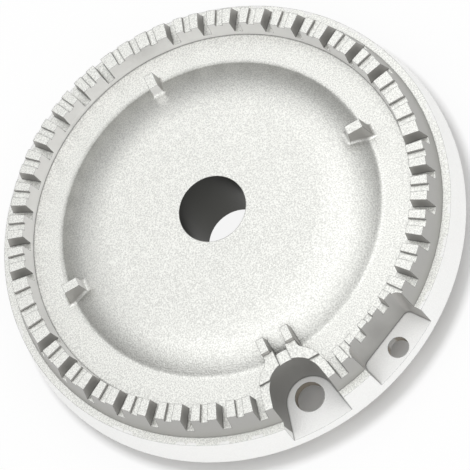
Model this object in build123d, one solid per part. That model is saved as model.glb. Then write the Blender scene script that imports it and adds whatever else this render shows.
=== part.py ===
"""Cast head of a round gas burner: mixing tube, crown, port ring, shelf and skirt in one piece.

Millimetres, +Z up.  The origin is on the tube's axis at its lower end, which the head stands on.
The electrode notch faces -Y.
"""
import os
from math import asin, cos, pi, radians, sin, sqrt, tan

from build123d import *

# Plan of the turned body, from the port ring's outer foot inwards and outwards
ring_base_d = 100.0     # foot of the port ring's outer wall
ring_lean = 1.8         # how far the outer wall leans in between its foot and the tooth tops
tooth_length = 3.7      # radial length of a tooth top
ring_inner_draft = 0.4  # how far the inner wall's foot stands in from the tooth tops
rim_width = 7.05        # sandy rim between the port ring and the crown's foot
shoulder_width = 12.55  # rounded edge of the crown, from its flat top to its foot
foot_fillet_r = 2.5     # hollow round the crown's foot
shelf_width = 1.8       # flat step outside the port ring
skirt_flare = 1.65      # how far the skirt spreads between the shelf and its lower edge
bore_d = 15.4           # mixing tube, inside
tube_wall = 2.3
casting_wall = 2.3      # thickness of crown, rim and skirt

# Heights
tube_drop = 7.1         # mixing tube below the skirt's lower edge
skirt_height = 7.4      # skirt's lower edge to shelf
rim_step = 1.15         # shelf to the rim's outer edge
rim_fall = 0.12         # how far the rim falls from the crown's foot to its outer edge
tooth_height = 5.3      # rim to tooth tops
crown_height = 4.57     # rim's outer edge to the crown's flat top
platform_wall = 2.25    # floor of the notch and of the sensor pocket, up from the skirt's lower edge

# Ports: deep slots and shallow grooves, the same in each quarter turn
groups_per_quarter = 7  # groups of two teeth between two stations
station_angle = 22.6    # from slot to slot across a station, in degrees
slot_width = 2.2
slot_depth = 3.8
slot_draft = 2.0        # degrees on each slot wall
groove_width = 1.7
groove_depth = 0.75
station_groove_angle = 5.5  # between the three grooves of a plain station

# Locating lugs at the plain stations, across the crown's foot
lug_rise = 0.5          # lug tops above the tooth tops
lug_width = 2.15
lug_length = 3.6
lug_overhang = 0.25     # lug top's outer end beyond the crown's foot
lug_outer_slant = 1.3   # the ends' lean over the height of a lug
lug_inner_slant = 0.9
lug_side_slant = 0.3

# Electrode notch at the front station, with the wall band round it
notch_inset = 3.7       # arch centre, in from the ring's foot
notch_r = 5.5           # arch radius at the platform
notch_flare = 12.5      # degrees, each side
pocket_draft = 3.0      # degrees, walls of the notch and of the sensor pocket
band_inset = 4.7        # band's arch centre, in from the ring's foot
band_r = 7.7
band_step = 0.5         # band's top below the tooth tops
arm_step = 0.6          # arms' top below the band's top
arm_start = 7.65        # where the arms begin, in from the ring's foot
spark_gap_width = 2.9   # low middle of the band
fin_spacing = 5.8       # between the middles of the two fins
fin_width = 1.8
fin_length = 3.4
fin_setback = 0.3       # fin top's outer end in from the crown's foot
neck_fillet_r = 2.0     # hollow between the band and the necks that join it to the fins
electrode_hole_d = 6.6
electrode_inset = 4.65  # hole centre, in from the ring's foot

# Sensor pocket beside the notch
sensor_angle = 25.6     # from the notch, in degrees
sensor_hole_d = 4.6
sensor_inset = 0.0      # hole centre, in from the ring's foot
pocket_inset = 3.6      # flat inner wall, in from the ring's foot
pocket_half_angle = 9.3
pocket_corner_r = 1.5

ring_base_r = ring_base_d / 2
tooth_outer_r = ring_base_r - ring_lean
tooth_inner_r = tooth_outer_r - tooth_length
rim_outer_r = tooth_inner_r - ring_inner_draft
crown_foot_r = rim_outer_r - rim_width
crown_shoulder_r = crown_foot_r - shoulder_width
shelf_r = ring_base_r + shelf_width
skirt_r = shelf_r + skirt_flare
bore_r = bore_d / 2

skirt_z = tube_drop
shelf_z = skirt_z + skirt_height
rim_z = shelf_z + rim_step
foot_z = rim_z + rim_fall
tooth_z = rim_z + tooth_height
crown_z = rim_z + crown_height
lug_z = tooth_z + lug_rise
band_z = tooth_z - band_step
arm_z = band_z - arm_step
platform_z = skirt_z + platform_wall
half_station = station_angle / 2
pitch = (90 - station_angle) / groups_per_quarter
port_start_r = rim_outer_r - rim_width / 2
port_reach = ring_base_r - port_start_r
clear = 5.0             # how far cutting tools run past the faces they cut


def turned(half_section):
    """Solid of revolution of a half section drawn as radius and height."""
    return revolve(Plane.XZ * half_section, Axis.Z)


def tube_section():
    """Mixing tube, filled, from its lower end up into the crown."""
    return Rectangle(bore_r + tube_wall, crown_z - casting_wall / 2, align=(Align.MIN, Align.MIN))


def solid_body():
    """Outside of the casting with its bore, filled in down to the skirt's lower edge."""
    flat = Line((0, crown_z), (crown_shoulder_r, crown_z))
    shoulder = TangentArc(flat @ 1, (crown_foot_r, foot_z), tangent=flat % 1)
    outside = make_face(flat + shoulder + Polyline(
        shoulder @ 1,
        (rim_outer_r, rim_z),
        (tooth_inner_r, tooth_z),
        (tooth_outer_r, tooth_z),
        (ring_base_r, shelf_z),
        (shelf_r, shelf_z),
        (skirt_r, skirt_z),
        (0, skirt_z),
        flat @ 0,
    ))
    foot = outside.vertices().sort_by_distance((crown_foot_r, foot_z))[0]
    bore = Rectangle(bore_d, 2 * (crown_z + clear))
    return turned(fillet(foot, foot_fillet_r) + tube_section() - bore)


def core():
    """Hollow round the tube, about one casting wall inside the outside, with a cone under the shoulder."""
    cone_start_r = crown_shoulder_r + shoulder_width / 4
    cone_end_r = crown_foot_r - casting_wall / 4
    inside = make_face(Polyline(
        (0, crown_z - casting_wall),
        (cone_start_r, crown_z - casting_wall),
        (cone_end_r, rim_z - casting_wall),
        (shelf_r - casting_wall, rim_z - casting_wall),
        (skirt_r - casting_wall, skirt_z),
        (skirt_r - casting_wall, -clear),
        (0, -clear),
        close=True,
    ))
    return turned(inside - tube_section() - Rectangle(bore_d, 2 * crown_z))


def arch_plan(inset, radius):
    """Arch open to the front, with sides that flare out past the skirt."""
    angle = radians(notch_flare)
    centre_y = inset - ring_base_r
    side_x = radius * cos(angle)
    side_y = centre_y + radius * sin(angle)
    reach = side_y + skirt_r + clear
    end_x = side_x + reach * tan(angle)
    sides = Polyline((side_x, side_y), (end_x, side_y - reach), (-end_x, side_y - reach), (-side_x, side_y))
    return make_face(sides + ThreePointArc((-side_x, side_y), (0, centre_y + radius), (side_x, side_y)))


def pocket_plan(grow):
    """Sensor pocket's outline at the front: flat inner wall, radial sides, rounded inner corners."""
    angle = radians(pocket_half_angle)
    wall_y = pocket_inset - ring_base_r + grow
    end_y = -skirt_r - clear
    wall_x = -wall_y * tan(angle) + grow
    end_x = -end_y * tan(angle) + grow
    corners = (-wall_x, wall_y), (wall_x, wall_y), (end_x, end_y), (-end_x, end_y)
    outline = make_face(Polyline(*corners, close=True))
    return fillet(outline.vertices().group_by(Axis.Y)[-1], pocket_corner_r + grow)


def drafted_pocket(plan):
    """Cutter from the platform upwards, wider towards the top; plan(grow) is its outline."""
    height = lug_z + clear - platform_z
    floor = Pos(0, 0, platform_z) * plan(0)
    top = Pos(0, 0, platform_z + height) * plan(height * tan(radians(pocket_draft)))
    return loft([floor, top], ruled=True)


def notch_plan(grow):
    return arch_plan(notch_inset, notch_r + grow)


def well(plan):
    """Casting wall round a pocket, left standing in the hollow below the rim."""
    return Pos(0, 0, skirt_z) * extrude(plan(casting_wall), rim_z - skirt_z)


def at_angle(angle):
    """Turn of a feature modelled at the front, given in degrees from the front."""
    return Rot(0, 0, angle)


def slot():
    """Deep port through the ring at the front, narrower at its floor."""
    height = slot_depth + clear
    floor_z = tooth_z - slot_depth
    lean = tan(radians(slot_draft))
    floor_x = slot_width / 2 - slot_depth * lean
    top_x = slot_width / 2 + clear * lean
    face = make_face(Polyline((-floor_x, 0), (floor_x, 0), (top_x, height), (-top_x, height), close=True))
    start = Plane((0, -port_start_r, floor_z), x_dir=(1, 0, 0), z_dir=(0, -1, 0))
    return extrude(start * face, port_reach)


def groove():
    """Shallow port across the tooth tops at the front."""
    place = Pos(0, -port_start_r, tooth_z - groove_depth)
    return place * Box(groove_width, port_reach, clear, align=(Align.CENTER, Align.MAX, Align.MIN))


def ports():
    """All slots and grooves: seven groups in each quarter and three grooves at each plain station."""
    cutters = []
    for quarter in range(4):
        station = 90 * quarter
        first = station + half_station
        cutters += [at_angle(first + pitch * i) * slot() for i in range(groups_per_quarter + 1)]
        cutters += [at_angle(first + pitch * (i + 0.5)) * groove() for i in range(groups_per_quarter)]
        if quarter > 0:
            cutters += [at_angle(station + station_groove_angle * i) * groove() for i in (-1, 0, 1)]
    return cutters


def lug(width, length, overhang):
    """Drafted block across the crown's foot at the front, with slanted ends."""
    outer = crown_foot_r + overhang
    inner = outer - length
    top = Pos(0, -(outer + inner) / 2, lug_z) * Rectangle(width, length)
    base_length = length + lug_outer_slant + lug_inner_slant
    base_y = -(outer + inner + lug_outer_slant - lug_inner_slant) / 2
    base = Pos(0, base_y, rim_z - casting_wall / 2) * Rectangle(width + 2 * lug_side_slant, base_length)
    return loft([base, top], ruled=True)


def fins():
    """Two fins that carry the notch's band on to the crown."""
    return [Pos(side * fin_spacing / 2, 0, 0) * lug(fin_width, fin_length, -fin_setback) for side in (-1, 1)]


def necked(arch):
    """The band's arch in plan, with two necks that run up to the fins and hollow corners outside them.

    A hollow is as large as set, or as the straight side of a short neck leaves room for.
    """
    inner_x = spark_gap_width / 2
    outer_x = (fin_spacing + fin_width) / 2
    end_y = fin_setback - crown_foot_r
    root_y = band_inset - ring_base_r + sqrt(band_r ** 2 - outer_x ** 2)
    neck = Pos((inner_x + outer_x) / 2, end_y) * Rectangle(
        outer_x - inner_x, end_y - root_y + casting_wall, align=(Align.CENTER, Align.MAX)
    )
    plan = arch + neck + mirror(neck, Plane.YZ)
    corners = [plan.vertices().sort_by_distance((side * outer_x, root_y))[0] for side in (-1, 1)]
    widest = (end_y - root_y) * tan(pi / 4 + asin(outer_x / band_r) / 2)
    return fillet(corners, min(neck_fillet_r, widest))


def band():
    """Wall band round the notch: a higher arch, and arms that run out through the ring."""
    plan = arch_plan(band_inset, band_r) & Circle(tooth_outer_r)
    arm_y = arm_start - ring_base_r
    inner_half = Pos(0, arm_y, 0) * Rectangle(2 * ring_base_r, ring_base_r, align=(Align.CENTER, Align.MIN))
    arms = extrude(Pos(0, 0, shelf_z) * plan, arm_z - shelf_z)
    arch = extrude(Pos(0, 0, shelf_z) * necked(plan & inner_half), band_z - shelf_z)
    return [arms, arch]


def station_trim():
    """Cutter that lowers the ring between the two slots beside the notch."""
    slope = tan(radians(half_station))
    near_y = ring_base_r - arm_start
    far_y = skirt_r + clear
    plan = Polyline((-near_y * slope, -near_y), (near_y * slope, -near_y),
                    (far_y * slope, -far_y), (-far_y * slope, -far_y), close=True)
    return extrude(Pos(0, 0, arm_z) * make_face(plan), clear)


def spark_gap():
    """Cutter that lowers the middle of the band."""
    inner_y = band_inset + band_r - ring_base_r
    place = Pos(0, inner_y, arm_z)
    return place * Box(spark_gap_width, band_r, clear, align=(Align.CENTER, Align.MAX, Align.MIN))


def hole(radius, diameter):
    """Cutter through the platform at the front, at a distance from the axis."""
    return Pos(0, -radius, platform_z) * Cylinder(diameter / 2, 2 * (platform_wall + clear))


def burner_head():
    """The casting: raised features, then the hollow, then the pockets, ports and holes."""
    sensor = at_angle(sensor_angle)
    electrode_r = ring_base_r - electrode_inset
    sensor_r = ring_base_r - sensor_inset
    lugs = [at_angle(90 * quarter) * lug(lug_width, lug_length, lug_overhang) for quarter in (1, 2, 3)]
    wells = [well(notch_plan), sensor * well(pocket_plan)]
    filled = solid_body() + lugs + fins() + band()
    hollow = core() - wells
    casting = filled - hollow
    pockets = [drafted_pocket(notch_plan), sensor * drafted_pocket(pocket_plan)]
    holes = [
        hole(electrode_r, electrode_hole_d),
        sensor * hole(sensor_r, sensor_hole_d),
    ]
    return casting - station_trim() - spark_gap() - ports() - pockets - holes


os.makedirs("parts", exist_ok=True)
export_step(burner_head(), "parts/burner_head.step")
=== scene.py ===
# %% [markdown]
# A gas burner head is one aluminium casting. Gas comes up its middle tube, spreads under the crown and
# leaves through the slots of the port ring. This lesson takes the finished solid of that casting as a fixed
# frame and gives it a floor, light, a camera and the finish of a real shot-blasted casting.

# %% Load the casting
import math

import bpy
import numpy as np
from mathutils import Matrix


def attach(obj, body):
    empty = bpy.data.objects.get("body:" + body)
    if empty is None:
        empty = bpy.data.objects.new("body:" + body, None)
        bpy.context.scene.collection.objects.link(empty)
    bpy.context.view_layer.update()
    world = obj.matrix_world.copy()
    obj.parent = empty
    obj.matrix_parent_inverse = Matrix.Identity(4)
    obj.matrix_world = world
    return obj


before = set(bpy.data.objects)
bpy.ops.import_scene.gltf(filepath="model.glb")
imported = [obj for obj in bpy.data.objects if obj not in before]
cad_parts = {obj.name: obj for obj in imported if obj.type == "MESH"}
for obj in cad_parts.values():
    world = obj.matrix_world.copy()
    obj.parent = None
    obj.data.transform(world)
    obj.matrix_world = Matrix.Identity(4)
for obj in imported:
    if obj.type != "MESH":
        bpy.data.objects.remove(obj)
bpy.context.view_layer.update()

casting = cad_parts["burner_head"]

# %% [markdown]
# The camera comes first, because every later choice is judged through it. A long lens stands about half a
# metre away, 61 degrees above the floor and a little to the right of the front, and it is rolled, so that
# the electrode notch ends up at the lower right. The aim point is the middle of the shelf round the ring.

# %% Camera
MM = 0.001
image_px = 470
focal_px = 2228.0
sensor_mm = 36.0
nearest_seen = 0.01
aim = np.array([0.0, 0.0, 14.5]) * MM
aim_px = np.array([220.74, 218.11])
camera_distance = 490.2 * MM
camera_elevation = math.radians(61.11)
camera_azimuth = math.radians(14.3)
camera_roll = math.radians(41.79)


def turned(v, angle):
    """The vector v, turned about the upright axis."""
    c, s = math.cos(angle), math.sin(angle)
    return np.array([c * v[0] - s * v[1], s * v[0] + c * v[1], v[2]])


def camera_rows():
    """The picture's right, down and forward directions, rolled and then swung so that the aim point lands
    on its own pixel."""
    back = turned((0, -math.cos(camera_elevation), math.sin(camera_elevation)), camera_azimuth)
    right = turned((1, 0, 0), camera_azimuth)
    up = turned((0, math.sin(camera_elevation), math.cos(camera_elevation)), camera_azimuth)
    c, s = math.cos(camera_roll), math.sin(camera_roll)
    rows = np.array([c * right - s * up, -(s * right + c * up), -back])
    ray = np.append((aim_px - image_px / 2) / focal_px, 1.0)
    ray /= np.linalg.norm(ray)
    k = np.cross((0, 0, 1), ray)
    cross = np.array([[0, -k[2], k[1]], [k[2], 0, -k[0]], [-k[1], k[0], 0]])
    swing = np.eye(3) + cross + cross @ cross / (1 + ray[2])
    return swing @ rows, aim + back * camera_distance


def set_pose(thing, axes, place):
    """Stands an object at a place, with its own x, y and z along three given directions."""
    pose = np.eye(4)
    pose[:3, :3] = np.stack(axes, axis=1)
    pose[:3, 3] = place
    thing.matrix_world = pose.T.tolist()


rows, camera_place = camera_rows()
camera = bpy.data.objects.new("camera", bpy.data.cameras.new("camera"))
camera.data.sensor_width = sensor_mm
camera.data.lens = focal_px * sensor_mm / image_px
camera.data.clip_start = nearest_seen
set_pose(camera, [rows[0], -rows[1], -rows[2]], camera_place)
bpy.context.scene.collection.objects.link(camera)
bpy.context.scene.camera = camera
print("camera at", camera_place.round(4), "lens", round(camera.data.lens, 2))

# %% [markdown]
# The casting stands on the end of its tube, on a plain pale floor: one level square sheet. Its paper is pale,
# and where the camera or a reflection looks at it, a share of its own white glow lifts it to the background.
# The share is high in the open, high in the middle of the tube as a painted pool of light where light would
# fall through, and low under the casting, so that the holes look down on shade. Lamplight alone would need to
# be far too strong for that.

# %% Helpers for materials and grids


def node(tree, kind, inputs=None, **settings):
    """One shader node with its settings and its sockets' values or links."""
    made = tree.nodes.new(kind)
    for key, value in settings.items():
        setattr(made, key, value)
    for key, value in (inputs or {}).items():
        if isinstance(value, bpy.types.NodeSocket):
            tree.links.new(value, made.inputs[key])
        else:
            made.inputs[key].default_value = value
    return made


def math_node(tree, operation, a, b):
    """One sum of two sockets or numbers."""
    return node(tree, "ShaderNodeMath", {0: a, 1: b}, operation=operation).outputs[0]


def vector_node(tree, operation, a, b=None):
    """One sum of two vectors, their dot product or distance, or one vector's length or direction."""
    made = node(tree, "ShaderNodeVectorMath", {0: a} if b is None else {0: a, 1: b}, operation=operation)
    return made.outputs["Value" if operation in ("DOT_PRODUCT", "LENGTH", "DISTANCE") else "Vector"]


def remap(tree, value, low, high, to_low, to_high, curve="SMOOTHSTEP"):
    """A value's range, carried to another range and held at its ends."""
    ends = {"Value": value, "From Min": low, "From Max": high, "To Min": to_low, "To Max": to_high}
    return node(tree, "ShaderNodeMapRange", ends, interpolation_type=curve).outputs[0]


def scaled(tree, colour, factor):
    """A colour, made lighter or darker by a factor."""
    return node(tree, "ShaderNodeVectorMath", {0: colour, "Scale": factor}, operation="SCALE").outputs[0]


def blank_material(name):
    """A new material with an empty node tree and its output."""
    material = bpy.data.materials.new(name)
    material.use_nodes = True
    material.node_tree.nodes.clear()
    return material, material.node_tree, node(material.node_tree, "ShaderNodeOutputMaterial")


def quad_mesh(name, points, corners):
    """A mesh over a grid of points, with one face for each set of four corners."""
    quads = np.stack(corners, axis=-1).reshape(-1, 4)
    mesh = bpy.data.meshes.new(name)
    mesh.from_pydata(points.reshape(-1, 3).tolist(), [], quads.tolist())
    mesh.update()
    return mesh


def grid_mesh(name, points):
    """A mesh over a grid of points (rows by columns by xyz), joined in squares."""
    n, m = points.shape[:2]
    index = np.arange(n * m).reshape(n, m)
    return quad_mesh(name, points, [index[:-1, :-1], index[:-1, 1:], index[1:, 1:], index[1:, :-1]])


# %% Floor
floor_half = 3.0
floor_steps = 9


def floor_sheet():
    """A level square sheet: x and y run over an even grid, z is zero."""
    line = np.linspace(-floor_half, floor_half, floor_steps)
    y, x = np.meshgrid(line, line, indexing="ij")
    return np.stack([x, y, np.zeros_like(x)], axis=-1)


floor = bpy.data.objects.new("floor", grid_mesh("floor", floor_sheet()))
bpy.context.scene.collection.objects.link(floor)
print("floor:", len(floor.data.polygons), "faces")

# %% Paper of the floor
paper_tone = (0.93, 0.93, 0.925, 1)
tube_inside_r = 7.7 * MM
tube_blur = 1.0 * MM
skirt_edge_r = 53.5 * MM
open_start_r = 55.5 * MM
# Inside the tube the glow is a painted pool of light.
tube_painted_glow, shade_glow, open_glow = 0.90, 0.0, 0.91


def looked_at(tree):
    """One where the camera or a reflection looks, nought for the light that the floor hands on."""
    path = node(tree, "ShaderNodeLightPath").outputs
    share = math_node(tree, "MAXIMUM", path["Is Camera Ray"], path["Is Glossy Ray"])
    return math_node(tree, "MAXIMUM", share, path["Is Transmission Ray"])


def pale_floor():
    """Matt paper with a share of white glow by distance from the tube's axis, a painted pool of light in the
    tube.
    """
    material, tree, out = blank_material("pale_floor")
    from_axis = vector_node(tree, "LENGTH", node(tree, "ShaderNodeTexCoord").outputs["Object"])
    lift = remap(tree, from_axis, tube_inside_r, tube_inside_r + tube_blur, tube_painted_glow, shade_glow, "LINEAR")
    lift = remap(tree, from_axis, skirt_edge_r, open_start_r, lift, open_glow, "LINEAR")
    matt = node(tree, "ShaderNodeBsdfDiffuse", {"Color": paper_tone})
    glow = node(tree, "ShaderNodeEmission", {"Color": (1, 1, 1, 1), "Strength": 1.0})
    share = math_node(tree, "MULTIPLY", looked_at(tree), lift)
    seen = node(tree, "ShaderNodeMixShader", {0: share, 1: matt.outputs[0], 2: glow.outputs[0]})
    tree.links.new(seen.outputs[0], out.inputs["Surface"])
    return material


floor.data.materials.append(pale_floor())
print("floor finish:", floor.data.materials[0].name)

# %% [markdown]
# The light is a white tent: bright on the camera's side, dimmer behind the casting and towards the table,
# with a brighter band across its front wall. The far side of the crown's shoulder then falls into shade,
# deepened by painted shade in the finish towards the crown's foot, which shows that the crown is a low dome,
# and the band lights the near side. One weak soft panel, up behind to the right, makes level faces grow
# brighter from left to right. All of it stays low enough that level faces keep their grain from the top and
# from behind too.

# %% Tent
tent_tone = (1.0, 1.0, 1.0, 1)
# Bearings are in degrees; the other values are strengths and the facings and heights where they change.
front_azimuth, front_elevation = 280, 50
dim_side, bright_side = 0.50, 1.03
dim_facing, bright_facing = -0.35, 0.45
horizon_share, horizon_top = 0.55, 0.80
front_lift = 0.65
band_start, band_low, band_high, band_end = 0.58, 0.68, 0.82, 0.97
front_edge, front_full = -0.10, 0.30


def bearing(azimuth, elevation):
    """The unit vector towards a compass bearing and a height above the floor, both in degrees."""
    a, e = math.radians(azimuth), math.radians(elevation)
    return np.array([math.cos(e) * math.cos(a), math.cos(e) * math.sin(a), math.sin(e)])


def tent():
    """A world that runs from a dim back to a bright front with a band in it, and dims downwards."""
    world = bpy.data.worlds.new("tent")
    world.use_nodes = True
    world.node_tree.nodes.clear()
    tree = world.node_tree
    sky = node(tree, "ShaderNodeTexCoord").outputs["Generated"]
    height = node(tree, "ShaderNodeSeparateXYZ", {0: sky}).outputs["Z"]
    facing = vector_node(tree, "DOT_PRODUCT", sky, tuple(bearing(front_azimuth, front_elevation)))
    ahead = vector_node(tree, "DOT_PRODUCT", sky, tuple(bearing(front_azimuth, 0)))
    level = remap(tree, facing, dim_facing, bright_facing, dim_side, bright_side, "LINEAR")
    horizon = remap(tree, height, 0.0, horizon_top, horizon_share, 1.0, "LINEAR")
    band = remap(tree, height, band_start, band_low, 0.0, front_lift)
    band = remap(tree, height, band_high, band_end, band, 0.0)
    wall = math_node(tree, "MULTIPLY", band, remap(tree, ahead, front_edge, front_full, 0.0, 1.0))
    strength = math_node(tree, "MULTIPLY", math_node(tree, "ADD", level, wall), horizon)
    cloth = node(tree, "ShaderNodeBackground", {"Color": tent_tone, "Strength": strength})
    node(tree, "ShaderNodeOutputWorld", {"Surface": cloth.outputs[0]})
    return world


bpy.context.scene.world = tent()
print("tent: dim", dim_side, "bright", bright_side)

# %% Overhead panel
# Place and side in metres, power in watts.
panel_place = np.array([0.14, 0.25, 0.47])
panel_side = 0.38
panel_power = 0.14


def soft_panel(name, place, side_length, power):
    """A square area lamp at a place over the casting, turned to face it."""
    lamp = bpy.data.objects.new(name, bpy.data.lights.new(name, "AREA"))
    lamp.data.size = side_length
    lamp.data.energy = power
    towards = (place - aim) / np.linalg.norm(place - aim)
    side = np.cross((0, 1, 0), towards)
    side /= np.linalg.norm(side)
    set_pose(lamp, [side, np.cross(towards, side), towards], place)
    bpy.context.scene.collection.objects.link(lamp)
    return lamp


panel = soft_panel("overhead_panel", panel_place, panel_side, panel_power)
print("lamp:", panel.name, "at", panel_place)

# %% [markdown]
# The finish is bare cast aluminium. Faces that look up were shot-blasted: bright, with a sandy grain. The
# pads of the notch and the pocket, and the skirt's outside, are machined smooth and scatter light like satin.
# Steep walls were out of the shot's way and keep the duller skin of the mould; painted shade makes them
# darker the deeper they lie, darkest in the bore and the notch, and the port ring's inner wall gets a painted
# lighter tone. The blasted crown carries painted shade towards its foot, and painted shade lines its corners
# and edges.
# Which is which is read from the surface itself: the way it faces, its height, its distance from the axis,
# and how far its neighbours shut it in. Painted masks would do too, but these rules hold from every side.

# %% What the finish is chosen by
# The sockets of a Mix node that hold colours.
mix_factor, mix_a, mix_b, mix_result = 0, 6, 7, 2
openness_samples = 8


def surface_facts(tree):
    """A point's place, its distance from the axis, its height, and how far it looks up and outwards."""
    coordinates = node(tree, "ShaderNodeTexCoord").outputs
    place, normal = coordinates["Object"], coordinates["Normal"]
    flat = vector_node(tree, "MULTIPLY", place, (1, 1, 0))
    return {
        "place": place,
        "plan": flat,
        "normal": normal,
        "radius": vector_node(tree, "LENGTH", flat),
        "height": node(tree, "ShaderNodeSeparateXYZ", {0: place}).outputs["Z"],
        "up": node(tree, "ShaderNodeSeparateXYZ", {0: normal}).outputs["Z"],
        "outward": vector_node(tree, "DOT_PRODUCT", normal, vector_node(tree, "NORMALIZE", flat)),
    }


def mixed(tree, factor, a, b):
    """Two colours, mixed by a factor."""
    sockets = {mix_factor: factor, mix_a: a, mix_b: b}
    return node(tree, "ShaderNodeMix", sockets, data_type="RGBA").outputs[mix_result]


def noise(tree, place, per_metre, detail):
    """A cloud of even grains, so many to the metre."""
    inputs = {"Vector": place, "Scale": per_metre, "Detail": detail}
    return node(tree, "ShaderNodeTexNoise", inputs).outputs[0]


def openness(tree, reach):
    """How much of the sky over a point is free of the casting itself, within a reach."""
    found = node(
        tree,
        "ShaderNodeAmbientOcclusion",
        {"Distance": reach},
        samples=openness_samples,
        only_local=True,
    )
    return found.outputs["AO"]


# %% Where the shot and the cutter reached
blast_from, blast_full = 0.30, 0.72
skirt_start_r, skirt_blur = 51.0 * MM, 0.3 * MM
pad_top = 11.0 * MM
level_from = 0.9


def skirt_share(tree, facts):
    """One on the skirt's outside."""
    far_out = remap(tree, facts["radius"], skirt_start_r, skirt_start_r + skirt_blur, 0.0, 1.0)
    return math_node(tree, "MULTIPLY", far_out, math_node(tree, "GREATER_THAN", facts["outward"], 0.0))


def blasted_share(tree, facts, skirt):
    """One on faces that look up and on the skirt, nought on steep walls."""
    return math_node(tree, "MAXIMUM", remap(tree, facts["up"], blast_from, blast_full, 0.0, 1.0), skirt)


def machined_share(tree, facts, skirt):
    """One on the level pads below the shelf and on the skirt."""
    low = math_node(tree, "LESS_THAN", facts["height"], pad_top)
    level = math_node(tree, "GREATER_THAN", facts["up"], level_from)
    return math_node(tree, "MAXIMUM", math_node(tree, "MULTIPLY", low, level), skirt)


# %% Tones of blasted and machined faces
blasted_tone = (0.92, 0.925, 0.886)
machined_tone = (0.95, 0.95, 0.937)
grain_low, grain_high = 0.30, 0.70
grain_dark, grain_light = 0.78, 1.09
smooth_dark, smooth_light = 0.975, 1.015
cloud_per_metre, cloud_detail, cloud_dark = 70.0, 3.0, 0.98
shoulder_start_r, foot_r, rim_start_r = 31.0 * MM, 36.7 * MM, 37.3 * MM
# Painted shade: how dark the blasted crown gets at its foot.
foot_painted_shade = 0.64
lug_from = 20.5 * MM


def bright_tone(tree, facts, grain, machined):
    """Blasted metal, speckled by its grain and with painted shade towards the crown's foot, or smooth
    machined metal.
    """
    cloud = noise(tree, facts["place"], cloud_per_metre, cloud_detail)
    speckle = remap(tree, grain, grain_low, grain_high, grain_dark, grain_light)
    cloudy = remap(tree, cloud, grain_low, grain_high, cloud_dark, 1.0)
    # Painted shade: darker from the shoulder's start to the foot, lugs left out.
    shoulder = remap(tree, facts["radius"], shoulder_start_r, foot_r, 1.0, foot_painted_shade, "LINEAR")
    shoulder = remap(tree, facts["radius"], foot_r, rim_start_r, shoulder, 1.0)
    on_lug = math_node(tree, "GREATER_THAN", facts["height"], lug_from)
    shoulder = math_node(tree, "MAXIMUM", shoulder, on_lug)
    shade = math_node(tree, "MULTIPLY", math_node(tree, "MULTIPLY", speckle, cloudy), shoulder)
    faint = remap(tree, grain, grain_low, grain_high, smooth_dark, smooth_light)
    return mixed(tree, machined, scaled(tree, blasted_tone, shade), scaled(tree, machined_tone, faint))


# %% Tones of the walls
skin_tone = (0.46, 0.45, 0.43, 1)
# Painted shade: the tone of walls that the casting shuts in.
recess_shade_tone = (0.37, 0.363, 0.348, 1)
# Painted shade: the bore's wall is given a near-black tone.
bore_shade_tone = (0.062, 0.062, 0.056, 1)
hole_tone = (0.30, 0.265, 0.215, 1)
# Painted shade: walls near the notch's middle take a darker tone.
notch_shade_tone = (0.26, 0.256, 0.243, 1)
notch_middle, notch_reach = (0.0, -46.3 * MM, 0.0), 8.6 * MM
outer_wall_tone = (0.47, 0.465, 0.45, 1)
# Painted light: the port ring's inner wall is much lighter than its outer wall, for the light it catches from
# the rim and crown.
inner_wall_lit_tone = (0.80, 0.792, 0.79, 1)
recess_reach = 20.0 * MM
recess_shut, recess_open = 0.20, 0.62
bore_wall_r = 7.9 * MM
hole_top = 9.3 * MM
crown_top_r = 24.0 * MM
outer_wall_start_r = 45.6 * MM
outer_from, outer_full = 0.80, 0.92
inner_from, inner_full = -0.60, -0.80


def wall_shares(tree, facts):
    """One on the tube's bore, on the port ring's outer wall and on its inner wall."""
    outer = math_node(
        tree,
        "MULTIPLY",
        remap(tree, facts["outward"], outer_from, outer_full, 0.0, 1.0),
        math_node(tree, "GREATER_THAN", facts["radius"], outer_wall_start_r),
    )
    inner = math_node(
        tree,
        "MULTIPLY",
        remap(tree, facts["outward"], inner_full, inner_from, 1.0, 0.0),
        math_node(tree, "GREATER_THAN", facts["radius"], crown_top_r),
    )
    return math_node(tree, "LESS_THAN", facts["radius"], bore_wall_r), outer, inner


def wall_tone(tree, facts, bore, outer, inner):
    """Mould skin with painted shade where it is shut in, in the notch and in the bore, a tone for the holes
    and the outer wall, and a painted lighter tone on the inner wall.
    """
    # Painted shade: walls are darker the more the casting shuts them in.
    shut_in = remap(tree, openness(tree, recess_reach), recess_shut, recess_open, 0.0, 1.0)
    tone = mixed(tree, shut_in, recess_shade_tone, skin_tone)
    from_notch = vector_node(tree, "DISTANCE", facts["plan"], notch_middle)
    tone = mixed(tree, math_node(tree, "LESS_THAN", from_notch, notch_reach), tone, notch_shade_tone)
    tone = mixed(tree, math_node(tree, "LESS_THAN", facts["height"], hole_top), tone, hole_tone)
    tone = mixed(tree, outer, tone, outer_wall_tone)
    tone = mixed(tree, inner, tone, inner_wall_lit_tone)
    return mixed(tree, bore, tone, bore_shade_tone)


# %% Painted shade in corners and along edges
corner_reach = 0.6 * MM
corner_shut, corner_open, corner_dark = 0.45, 0.90, 0.42
edge_radius = 0.24 * MM
edge_turned, edge_plain, edge_dark = 0.75, 0.995, 0.25


def line_shade(tree, facts, round_edge):
    """Painted shade: darker in tight corners, and along edges, where the rounded normal turns away from the
    plain one.
    """
    corner = remap(tree, openness(tree, corner_reach), corner_shut, corner_open, corner_dark, 1.0)
    turn = vector_node(tree, "DOT_PRODUCT", round_edge, facts["normal"])
    return math_node(tree, "MULTIPLY", corner, remap(tree, turn, edge_turned, edge_plain, edge_dark, 1.0))


# %% Cast aluminium
grain_per_metre, grain_detail = 3300.0, 1.0
edge_samples = 6
wall_roughness, blasted_roughness = 0.50, 0.36
skin_metal = 0.45
machined_metal = 0.25
wall_grain = 0.3
bump_strength, bump_depth = 0.75, 0.10 * MM


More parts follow.
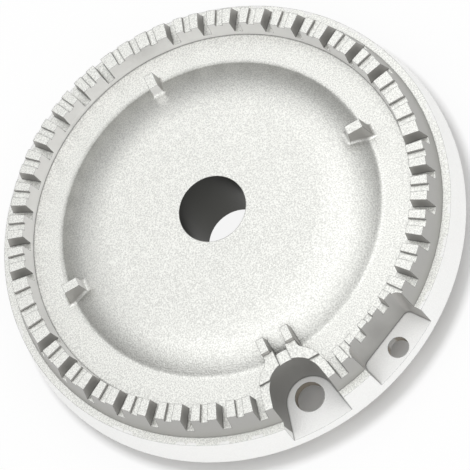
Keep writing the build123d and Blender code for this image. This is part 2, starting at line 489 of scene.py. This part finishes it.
def cast_aluminium(name, lined):
    """Bare cast aluminium: blasted or machined where a face is open, mould skin where it is steep.

    A lined finish also has painted shade in corners and along rounded edges.
    """
    material, tree, out = blank_material(name)
    facts = surface_facts(tree)
    skirt = skirt_share(tree, facts)
    blasted = blasted_share(tree, facts, skirt)
    bore, outer, inner = wall_shares(tree, facts)
    grain = noise(tree, facts["place"], grain_per_metre, grain_detail)
    machined = machined_share(tree, facts, skirt)
    bright = bright_tone(tree, facts, grain, machined)
    tone = mixed(tree, blasted, wall_tone(tree, facts, bore, outer, inner), bright)
    relief = math_node(tree, "MULTIPLY", grain, remap(tree, blasted, 0.0, 1.0, wall_grain, 1.0))
    bump = {"Strength": bump_strength, "Distance": bump_depth, "Height": relief}
    if lined:
        rounded = node(tree, "ShaderNodeBevel", {"Radius": edge_radius}, samples=edge_samples)
        bump["Normal"] = rounded.outputs[0]
        # Painted shade in corners and along edges darkens the colour.
        tone = scaled(tree, tone, line_shade(tree, facts, bump["Normal"]))
    bare = math_node(tree, "MAXIMUM", math_node(tree, "MAXIMUM", outer, inner), bore)
    bare = math_node(tree, "MAXIMUM", bare, blasted)
    metallic = remap(tree, bare, 0.0, 1.0, skin_metal, 1.0)
    metal = {
        "Base Color": tone,
        "Metallic": remap(tree, machined, 0.0, 1.0, metallic, machined_metal),
        "Roughness": remap(tree, blasted, 0.0, 1.0, wall_roughness, blasted_roughness),
        "Normal": node(tree, "ShaderNodeBump", bump).outputs[0],
    }
    tree.links.new(node(tree, "ShaderNodeBsdfPrincipled", metal).outputs[0], out.inputs["Surface"])
    return material


finish = cast_aluminium("cast_aluminium", lined=True)
for held in casting.material_slots:
    held.material = finish
print("finish:", finish.name, "on", len(casting.material_slots), "slot")

# %% [markdown]
# Three locating lugs stand across the crown's foot and hold the burner's cap. On the casting each runs into
# the crown through a small hollow, which catches the light as a bright strip. The hollow is a section carried
# round the lug's foot: a curve from the lug's wall to the crown, closed by one point inside the metal. It is
# worked out for the whole round at once, and the shot reached it, so it takes the blasted finish.

# %% Shape of the crown and of a lug
crown_z, flat_r = 20.22 * MM, 24.5 * MM
crown_foot_r, crown_foot_z = 37.05 * MM, 15.77 * MM
rim_slope = -0.017
foot_hollow_r, hollow_ahead = 2.5 * MM, 1.0 * MM
lug_top_z, lug_height = 21.45 * MM, 6.95 * MM
lug_outer, lug_inner, lug_half = 37.3 * MM, 33.7 * MM, 1.075 * MM
outer_slant, inner_slant, side_slant = 1.3 * MM, 0.9 * MM, 0.3 * MM


def crown_height(r):
    """Height over the floor at a distance from the axis: the shoulder's round, the hollow at its foot, the
    rim."""
    rise, run = crown_z - crown_foot_z, crown_foot_r - flat_r
    round_r = (run**2 + rise**2) / (2 * rise)
    round_z = crown_z - round_r
    hollow_z = crown_foot_z + rim_slope * hollow_ahead + foot_hollow_r
    hollow_at = flat_r + math.sqrt((round_r + foot_hollow_r) ** 2 - (hollow_z - round_z) ** 2)
    meet_r = flat_r + (hollow_at - flat_r) * round_r / (round_r + foot_hollow_r)
    shoulder = round_z + np.sqrt(round_r**2 - np.clip(r - flat_r, 0, run) ** 2)
    hollow = hollow_z - np.sqrt(foot_hollow_r**2 - np.clip(r - hollow_at, -foot_hollow_r, 0) ** 2)
    rim = crown_foot_z + rim_slope * (r - crown_foot_r)
    return np.where(r < meet_r, shoulder, np.where(r < hollow_at, hollow, rim))


def lug_plan(along, across, z):
    """A point of the lug's outline at a height; along and across run from -1 to 1 over its length and
    width."""
    down = (lug_top_z - z) / lug_height
    outer = lug_outer + outer_slant * down
    inner = lug_inner - inner_slant * down
    u = (outer + inner) / 2 + along * (outer - inner) / 2
    return u, across * (lug_half + side_slant * down)


print("crown foot at", round(float(crown_height(crown_foot_r)) / MM, 2), "mm")

# %% Hollow round a lug's foot
side_hollow, end_hollow = 0.75 * MM, 1.15 * MM
sunk = 0.02 * MM
rooted = 0.25 * MM
side_steps, end_steps, corner_steps, curve_steps = 14, 5, 6, 9
seating_rounds = 8


def lug_round():
    """The lug's outline as along, across and the way it faces, side by side and corner by corner."""
    side = np.linspace(-1, 1, side_steps)
    end = np.linspace(1, -1, end_steps)
    bend = np.linspace(0, 1, corner_steps + 2)[1:-1]
    along = [side, 1 + 0 * bend, 1 + 0 * end, 1 + 0 * bend]
    across = [1 + 0 * side, 1 + 0 * bend, end, -1 + 0 * bend]
    turn = [1 + 0 * side, 1 - bend, 0 * end, -bend]
    along = np.concatenate(along + [-a for a in along])
    across = np.concatenate(across + [-a for a in across])
    turn = np.concatenate(turn + [a - 2 for a in turn]) * math.pi / 2
    return along, across, turn


def lug_hollow(turned_by):
    """Rows round the lug, columns over the section: a curve from the wall, one hollow's size above the
    corner, to the crown, one size out from it, pulled towards the corner, then a point in the metal. The
    hollow is larger at the end that looks at the axis."""
    along, across, turn = lug_round()
    z = np.full_like(along, crown_foot_z)
    for _ in range(seating_rounds):
        u, v = lug_plan(along, across, z)
        z = crown_height(np.hypot(u, v))
    face_u, face_v = np.cos(turn), np.sin(turn)
    size = side_hollow + (end_hollow - side_hollow) * np.clip(-face_u, 0, 1)
    top_u, top_v = lug_plan(along, across, z + size)
    out_u, out_v = u + size * face_u, v + size * face_v
    corner = np.stack([u, v, z], axis=-1)
    face = np.stack([face_u, face_v, 0 * z], axis=-1)
    wall = np.stack([top_u, top_v, z + size], axis=-1) - sunk * face
    crown = np.stack([out_u, out_v, crown_height(np.hypot(out_u, out_v)) - sunk], axis=-1)
    root = corner - rooted * (face + (0, 0, 1))
    s = np.linspace(0, 1, curve_steps)[None, :, None]
    curve = (1 - s) ** 2 * wall[:, None] + 2 * s * (1 - s) * corner[:, None] + s**2 * crown[:, None]
    section = np.concatenate([curve, root[:, None]], axis=1)
    c, q = math.cos(turned_by), math.sin(turned_by)
    x, y = section[..., 1], -section[..., 0]
    return np.stack([c * x - q * y, q * x + c * y, section[..., 2]], axis=-1)


# %% Lug hollows
sharp_from = math.radians(50)


def ring_mesh(name, points):
    """A closed mesh over a grid of points whose rows and columns both run round to their start."""
    n, m = points.shape[:2]
    index = np.arange(n * m).reshape(n, m)
    after, beside = np.roll(index, -1, axis=0), np.roll(index, -1, axis=1)
    mesh = quad_mesh(name, points, [index, after, np.roll(after, -1, axis=1), beside])
    mesh.polygons.foreach_set("use_smooth", np.ones(len(mesh.polygons), dtype=bool))
    mesh.set_sharp_from_angle(angle=sharp_from)
    mesh.update()
    return mesh


hollow_finish = cast_aluminium("cast_aluminium_hollow", lined=False)
for quarter in (1, 2, 3):
    name = f"lug_hollow_{quarter}"
    hollow = bpy.data.objects.new(name, ring_mesh(name, lug_hollow(quarter * math.pi / 2)))
    hollow.data.materials.append(hollow_finish)
    bpy.context.scene.collection.objects.link(hollow)
    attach(hollow, "root")
    print(name, len(hollow.data.polygons), "faces")

# %% [markdown]
# The picture's colours are shown through the plain Standard view transform.

# %% View transform
bpy.context.scene.view_settings.view_transform = "Standard"
